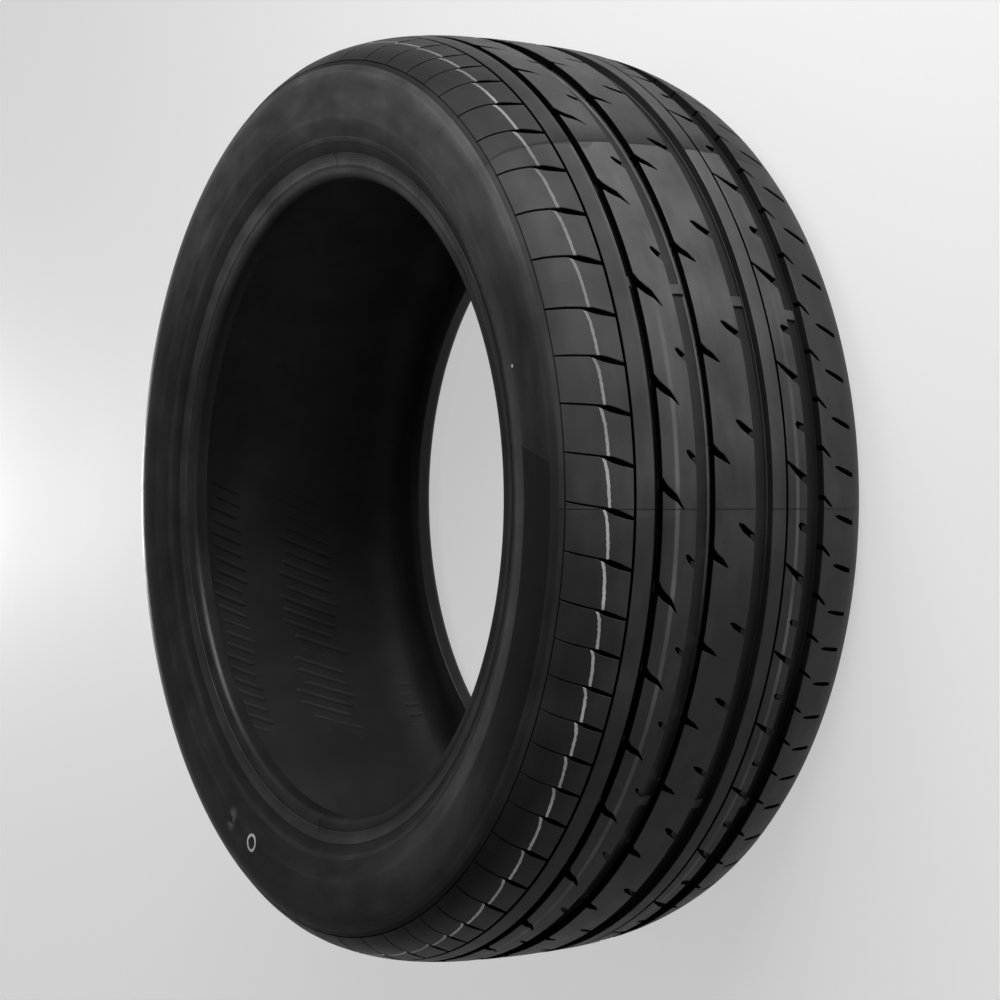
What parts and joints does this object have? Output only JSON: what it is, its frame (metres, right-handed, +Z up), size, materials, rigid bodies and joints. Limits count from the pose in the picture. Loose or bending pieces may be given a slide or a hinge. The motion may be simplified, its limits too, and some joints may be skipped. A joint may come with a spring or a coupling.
{
  "type": "car tyre",
  "caption": "Low-profile tubeless car tyre off its rim, with an asymmetric ribbed tread, hooked cross slots, plain sidewalls and two bead seats.",
  "frame": {"origin": "centre of the tyre, on the axle line and half way between the two beads", "axes": "+Z along the axle line, out of the outer sidewall; the tyre lies on its inner sidewall with +Z up"},
  "size_m": [0.6432, 0.6431, 0.236],
  "materials": {
    "tyre_rubber": "satin"
  },
  "bodies": {
    "root": {"tyre": "tyre_rubber"}
  },
  "joints": []
}
